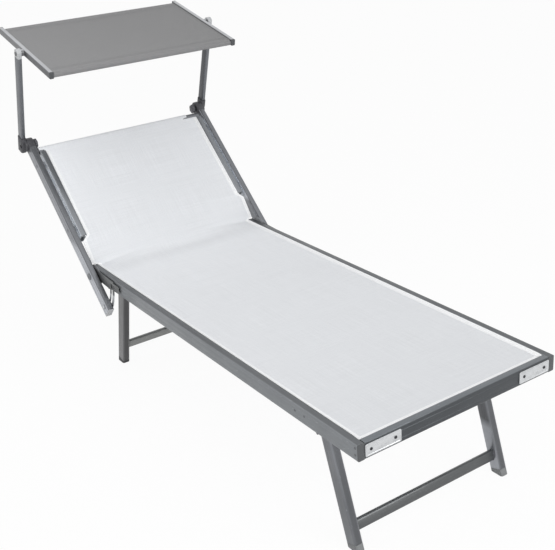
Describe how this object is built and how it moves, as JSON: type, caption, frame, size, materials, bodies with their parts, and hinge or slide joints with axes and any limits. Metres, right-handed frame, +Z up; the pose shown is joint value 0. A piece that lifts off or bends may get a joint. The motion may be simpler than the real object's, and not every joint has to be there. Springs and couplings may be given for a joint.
{
  "type": "folding sun lounger",
  "caption": "Folding aluminium beach lounger with stretched fabric, a reclining back on slotted quadrants, folding leg frames and a tilting canopy on swinging arms.",
  "frame": {"origin": "centre of the overall box in X and Y, on the floor under the four feet", "axes": "+X across the lounger, to the right as seen from the foot end, +Y from the foot end to the head end, +Z up"},
  "size_m": [0.7386, 1.8628, 1.121],
  "materials": {
    "frame_aluminium": "satin anodised, extruded with fine lines",
    "bright_aluminium": "bright brushed sheet",
    "steel": "zinc plated",
    "black_plastic": "fine moulded grain",
    "dark_plastic": "fine moulded grain",
    "light_plastic": "smooth moulded",
    "pale_fabric": "coated open weave",
    "grey_fabric": "coated open weave"
  },
  "bodies": {
    "seat_frame": {"seat_rail_left": "frame_aluminium", "seat_rail_right": "frame_aluminium", "seat_cap_front_left": "dark_plastic", "seat_cap_front_right": "dark_plastic", "seat_cap_rear_left": "dark_plastic", "seat_cap_rear_right": "dark_plastic", "front_rail": "frame_aluminium", "corner_plate_left": "bright_aluminium", "corner_plate_right": "bright_aluminium", "mid_tube": "frame_aluminium", "rear_tube": "frame_aluminium", "seat_fabric": "pale_fabric", "quadrant_left": "bright_aluminium", "quadrant_right": "bright_aluminium", "hinge_pin_left": "black_plastic", "hinge_pin_right": "black_plastic", "front_bracket_left": "black_plastic", "front_bracket_right": "black_plastic", "rear_bracket_left": "black_plastic", "rear_bracket_right": "black_plastic"},
    "front_legs": {"front_leg_left": "frame_aluminium", "front_leg_right": "frame_aluminium", "front_foot_left": "black_plastic", "front_foot_right": "black_plastic", "front_crossbar": "frame_aluminium"},
    "rear_legs": {"rear_leg_left": "frame_aluminium", "rear_leg_right": "frame_aluminium", "rear_foot_left": "black_plastic", "rear_foot_right": "black_plastic", "rear_crossbar": "frame_aluminium"},
    "backrest": {"back_bar_left": "frame_aluminium", "back_bar_right": "frame_aluminium", "back_bar_cap_left": "light_plastic", "back_bar_cap_right": "light_plastic", "back_rail_left": "frame_aluminium", "back_rail_right": "frame_aluminium", "back_top_tube": "frame_aluminium", "back_low_tube": "frame_aluminium", "back_fabric": "pale_fabric", "clamp_stud_left": "steel", "clamp_stud_right": "steel", "bar_head_left": "black_plastic", "bar_head_right": "black_plastic"},
    "left_knob": {"fold_knob_left": "black_plastic"},
    "right_knob": {"fold_knob_right": "black_plastic"},
    "canopy_arms": {"arm_hub_left": "black_plastic", "arm_hub_right": "black_plastic", "arm_left": "frame_aluminium", "arm_right": "frame_aluminium", "arm_tip_left": "light_plastic", "arm_tip_right": "light_plastic"},
    "canopy": {"canopy_rail_left": "frame_aluminium", "canopy_rail_right": "frame_aluminium", "canopy_cap_front_left": "dark_plastic", "canopy_cap_front_right": "dark_plastic", "canopy_cap_rear_left": "dark_plastic", "canopy_cap_rear_right": "dark_plastic", "canopy_rod_front": "frame_aluminium", "canopy_rod_rear": "frame_aluminium", "canopy_fabric": "grey_fabric"}
  },
  "joints": [
    {"name": "back_recline", "type": "hinge", "parent": "seat_frame", "child": "backrest", "pos_m": [0, 0.43743, 0.363], "axis": [1, 0, 0], "range_deg": [-43, 27]},
    {"name": "front_legs_fold", "type": "hinge", "parent": "seat_frame", "child": "front_legs", "pos_m": [0, -0.70657, 0.352], "axis": [1, 0, 0], "range_deg": [0, 107]},
    {"name": "rear_legs_fold", "type": "hinge", "parent": "seat_frame", "child": "rear_legs", "pos_m": [0, 0.37943, 0.352], "axis": [-1, 0, 0], "range_deg": [0, 105]},
    {"name": "arms_swing", "type": "hinge", "parent": "backrest", "child": "canopy_arms", "pos_m": [0, 0.83236, 0.73128], "axis": [1, 0, 0], "range_deg": [-80, 60]},
    {"name": "canopy_tilt", "type": "hinge", "parent": "canopy_arms", "child": "canopy", "pos_m": [0, 0.72834, 1.06038], "axis": [1, 0, 0], "range_deg": [-75, 75]},
    {"name": "left_knob_turn", "type": "hinge", "parent": "backrest", "child": "left_knob", "pos_m": [-0.32, 0.83236, 0.73128], "axis": [1, 0, 0], "continuous": true},
    {"name": "right_knob_turn", "type": "hinge", "parent": "backrest", "child": "right_knob", "pos_m": [0.32, 0.83236, 0.73128], "axis": [1, 0, 0], "continuous": true}
  ]
}
